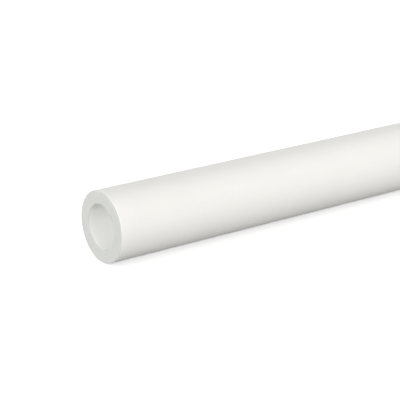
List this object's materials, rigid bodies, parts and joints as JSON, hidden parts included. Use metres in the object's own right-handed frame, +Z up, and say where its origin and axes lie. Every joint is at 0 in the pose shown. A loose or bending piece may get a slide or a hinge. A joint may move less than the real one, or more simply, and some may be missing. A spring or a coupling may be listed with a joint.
{
  "type": "acetal tube stock",
  "caption": "Straight thick-walled round tube of white acetal with a plain through bore and square sawn ends, stock for turning into bushes, spacers, rollers and sleeves.",
  "frame": {"origin": "under the middle of the tube, on the surface that it lies on", "axes": "+X along the tube's axis, +Z up, +Y level and square to the axis"},
  "size_m": [0.3048, 0.0508, 0.0508],
  "materials": {
    "acetal": "satin, as extruded, with sawn ends; natural white acetal, slightly translucent at its edges"
  },
  "bodies": {
    "root": {"tube": "acetal"}
  },
  "joints": []
}
